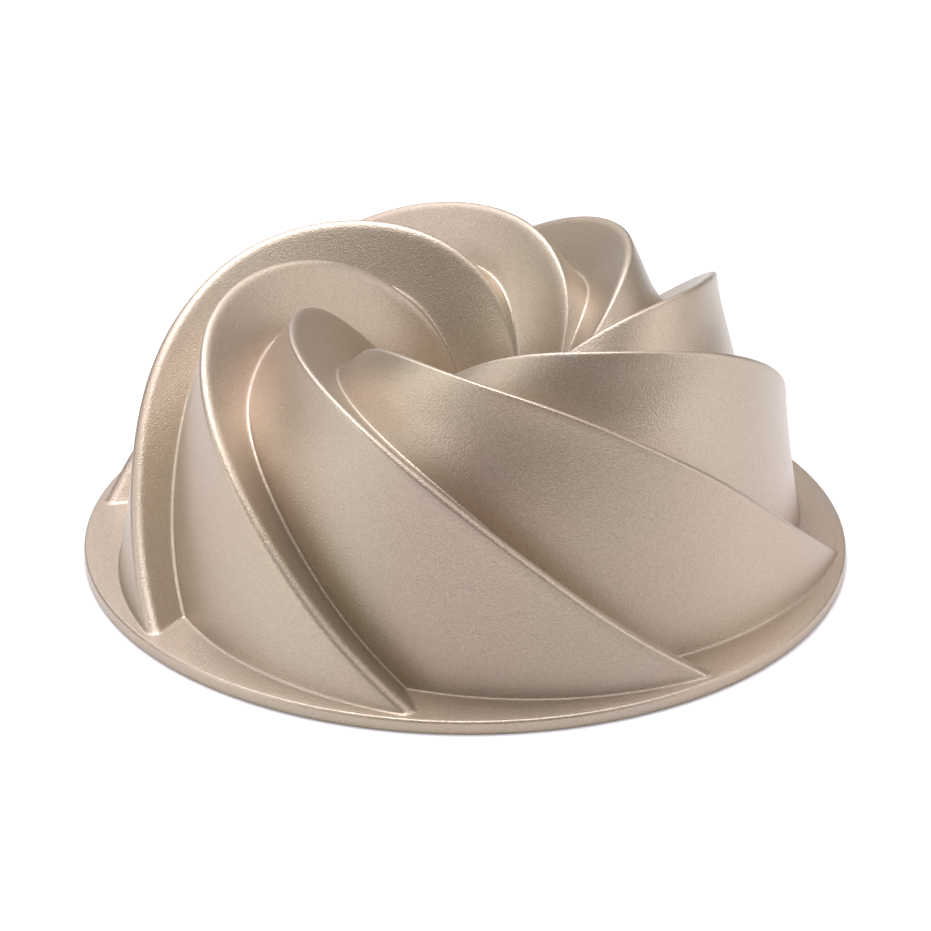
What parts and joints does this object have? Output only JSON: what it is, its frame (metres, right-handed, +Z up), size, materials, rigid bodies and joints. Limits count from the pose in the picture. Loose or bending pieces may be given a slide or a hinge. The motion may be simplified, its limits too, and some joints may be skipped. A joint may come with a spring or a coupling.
{
  "type": "bundt pan",
  "caption": "Swirled ring cake pan of cast aluminium with a centre tube and a flat rim flange, shown crown up.",
  "frame": {"origin": "centre of the rim's flat face, on which the pan stands crown up", "axes": "+Z up along the centre tube, towards the crown; the pan has eightfold rotation about Z, and one ridge's foot lies on +X"},
  "size_m": [0.2648, 0.2648, 0.0967],
  "materials": {
    "cast_aluminium": "satin cast metal, which shows only where the two coatings end: at the rim's lower edge and at the tube's end",
    "champagne_finish": "satin metallic champagne-gold baked coating with a fine sandy grain",
    "nonstick_lining": "smooth satin champagne non-stick coating"
  },
  "bodies": {
    "root": {"cast_body": "cast_aluminium", "outer_finish": "champagne_finish", "nonstick_lining": "nonstick_lining"}
  },
  "joints": []
}
